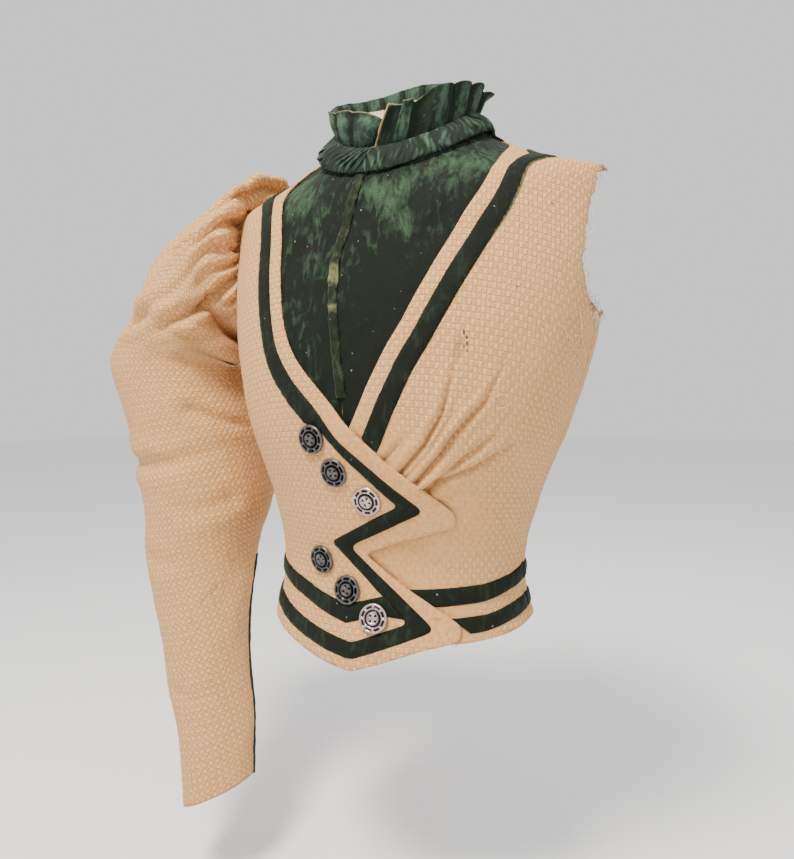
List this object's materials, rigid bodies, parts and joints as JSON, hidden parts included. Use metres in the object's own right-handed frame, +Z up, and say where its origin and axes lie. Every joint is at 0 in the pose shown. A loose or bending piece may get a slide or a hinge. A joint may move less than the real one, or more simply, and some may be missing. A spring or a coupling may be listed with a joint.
{
  "type": "fitted bodice",
  "caption": "Late-Victorian fitted bodice in tan check cloth: velvet plastron and bands, ruched stand collar, zig-zag lapped front, leg-of-mutton sleeve, opposite armhole raw.",
  "frame": {"origin": "middle of the neck opening, level with the shoulder seams at the collar, where a dress form holds the garment", "axes": "+Z up the wearer, -Y the way the front faces, +X to the wearer's left"},
  "size_m": [0.5185, 0.218, 0.7018],
  "materials": {
    "tan_cloth": "matte basket check",
    "green_velvet": "crushed pile",
    "worn_velvet": "worn pile",
    "cream_lining": "matte",
    "dark_edging": "matte",
    "button_metal": "dull, ringed"
  },
  "bodies": {
    "root": {"front_left": "tan_cloth", "front_right": "tan_cloth", "side_left": "tan_cloth", "side_right": "tan_cloth", "back_left": "tan_cloth", "back_right": "tan_cloth", "sleeve_upper": "tan_cloth", "sleeve_under": "tan_cloth", "sleeve_edging": "dark_edging", "armhole_lining_left": "cream_lining", "plastron_left": "green_velvet", "plastron_right": "green_velvet", "plastron_placket": "worn_velvet", "collar_stand": "cream_lining", "collar_frill": "green_velvet", "neckline_band_left": "green_velvet", "lap_band_right": "green_velvet", "waist_band_upper_front_left": "green_velvet", "waist_band_upper_front_right": "green_velvet", "waist_band_upper_side_left": "green_velvet", "waist_band_upper_side_right": "green_velvet", "waist_band_upper_back_left": "green_velvet", "waist_band_upper_back_right": "green_velvet", "waist_band_lower_front_left": "green_velvet", "waist_band_lower_side_left": "green_velvet", "waist_band_lower_side_right": "green_velvet", "waist_band_lower_back_left": "green_velvet", "waist_band_lower_back_right": "green_velvet", "button_1": "button_metal", "button_2": "button_metal", "button_3": "button_metal", "button_4": "button_metal", "button_5": "button_metal", "button_6": "button_metal"}
  },
  "joints": []
}
